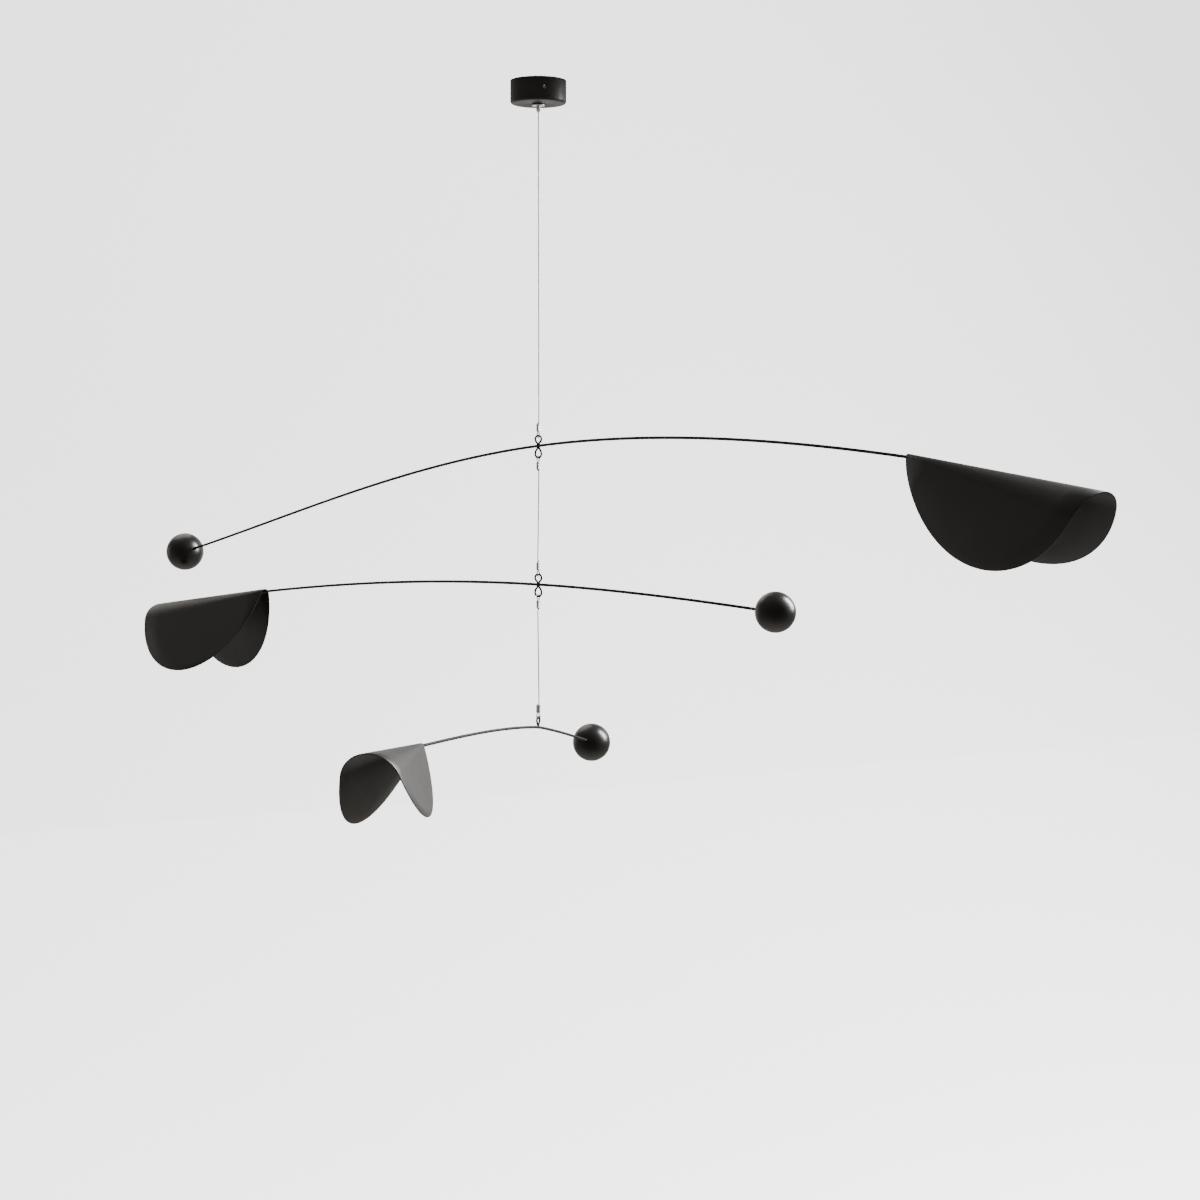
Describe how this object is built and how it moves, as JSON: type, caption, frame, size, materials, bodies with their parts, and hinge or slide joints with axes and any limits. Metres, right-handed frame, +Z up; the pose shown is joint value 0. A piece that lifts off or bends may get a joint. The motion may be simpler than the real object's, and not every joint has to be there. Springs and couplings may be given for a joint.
{
  "type": "hanging mobile sculpture",
  "caption": "Hanging mobile with three balanced arched arms on steel cables under a ceiling cup, each arm with a ball at one end and a folded sheet wing at the other.",
  "frame": {"origin": "centre of the canopy's top rim, where it meets the ceiling", "axes": "+Z up, +X to the right and +Y away from the viewer in the source view; the tiers hang along -Z"},
  "size_m": [1.0133, 1.1035, 0.7512],
  "materials": {
    "black_lacquer": "satin black lacquer",
    "satin_black_sheet": "matt to satin black lacquer on folded sheet",
    "gloss_black": "semi-gloss black lacquer",
    "steel": "plain bright steel"
  },
  "bodies": {
    "ceiling_fitting": {"canopy": "black_lacquer", "canopy_screw": "steel", "cable_gland": "steel"},
    "upper_tier": {"wire_1": "steel", "crimp_1_lower": "steel", "arm_1": "black_lacquer", "ball_1": "gloss_black", "wing_1": "satin_black_sheet", "crimp_2_upper": "steel"},
    "middle_tier": {"wire_2": "steel", "crimp_2_lower": "steel", "arm_2": "black_lacquer", "ball_2": "gloss_black", "wing_2": "satin_black_sheet", "crimp_3_upper": "steel"},
    "lower_tier": {"wire_3": "steel", "crimp_3_lower": "steel", "arm_3": "black_lacquer", "ball_3": "gloss_black", "wing_3": "satin_black_sheet"}
  },
  "joints": [
    {"name": "upper_tier_swivel", "type": "hinge", "parent": "ceiling_fitting", "child": "upper_tier", "pos_m": [0, 0, -0.0341], "axis": [0, 0, 1], "continuous": true},
    {"name": "middle_tier_swivel", "type": "hinge", "parent": "upper_tier", "child": "middle_tier", "pos_m": [0, 0, -0.4035], "axis": [0, 0, 1], "continuous": true, "deforming": ["wire_2"]},
    {"name": "lower_tier_swivel", "type": "hinge", "parent": "middle_tier", "child": "lower_tier", "pos_m": [0, 0, -0.5519], "axis": [0, 0, 1], "continuous": true, "deforming": ["wire_3"]}
  ]
}
